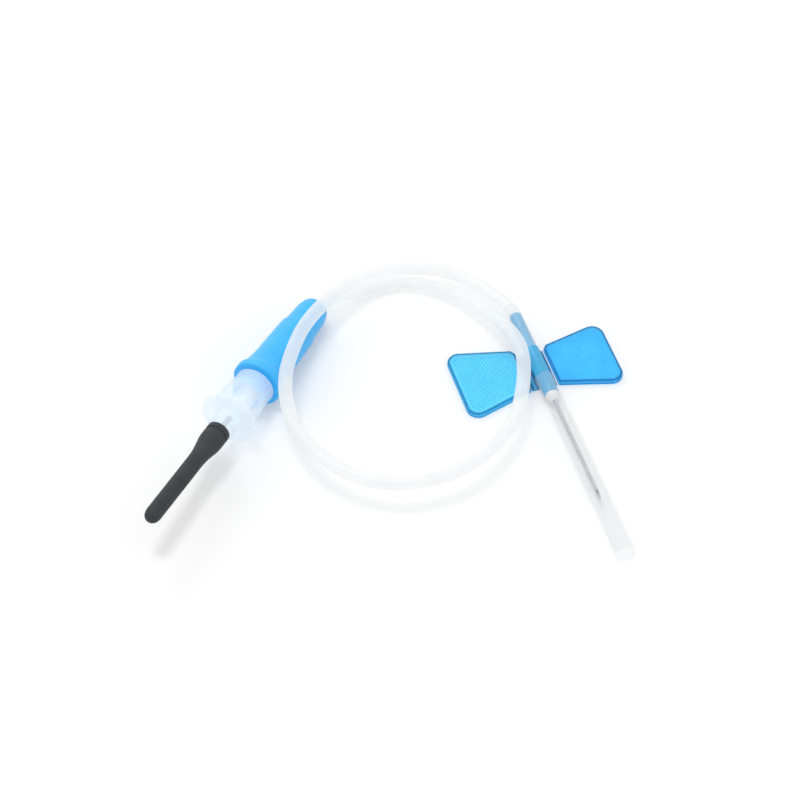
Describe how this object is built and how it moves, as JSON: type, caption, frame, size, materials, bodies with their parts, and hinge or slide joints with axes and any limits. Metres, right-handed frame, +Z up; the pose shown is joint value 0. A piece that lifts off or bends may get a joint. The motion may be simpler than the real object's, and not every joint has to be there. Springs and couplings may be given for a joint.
{
  "type": "butterfly needle",
  "caption": "Butterfly needle lying with its tubing in one loose loop: blue folding wings, a clear sheath on the needle, a blue luer connector and a clear adapter with a rubber sleeve.",
  "frame": {"origin": "on the table, under the centre of the box round every piece but the tubing", "axes": "+Z up from the table; +X to the right and +Y away as the viewer of the picture sees it lying"},
  "size_m": [0.0812, 0.066, 0.013],
  "materials": {
    "blue_plastic": "clear blue moulded plastic, satin",
    "tube_vinyl": "soft milky vinyl, satin",
    "needle_steel": "polished stainless steel",
    "clear_plastic": "clear moulded plastic, glossy",
    "clear_glue": "cured clear adhesive, glossy",
    "black_rubber": "dark grey rubber, satin"
  },
  "bodies": {
    "winged_set": {"winged_hub": "blue_plastic", "patient_needle": "needle_steel", "needle_glue": "clear_glue", "tubing": "tube_vinyl", "luer_connector": "blue_plastic"},
    "sheath": {"needle_sheath": "clear_plastic"},
    "right_wing": {"right_wing": "blue_plastic"},
    "left_wing": {"left_wing": "blue_plastic"},
    "adapter": {"luer_adapter": "clear_plastic", "rear_needle": "needle_steel", "rubber_sleeve": "black_rubber"}
  },
  "joints": [
    {"name": "sheath_pull", "type": "slide", "parent": "winged_set", "child": "sheath", "axis": [0.294, -0.9558, 0], "range_m": [0, 0.05]},
    {"name": "right_wing_fold", "type": "hinge", "parent": "winged_set", "child": "right_wing", "pos_m": [0.02782, 0.01532, 0.0003], "axis": [0.294, -0.9558, 0], "range_deg": [0, 80]},
    {"name": "left_wing_fold", "type": "hinge", "parent": "winged_set", "child": "left_wing", "pos_m": [0.02304, 0.01385, 0.0003], "axis": [-0.294, 0.9558, 0], "range_deg": [0, 50]},
    {"name": "adapter_pull", "type": "slide", "parent": "winged_set", "child": "adapter", "axis": [-0.4346, -0.895, 0.1011], "range_m": [0, 0.012]}
  ]
}
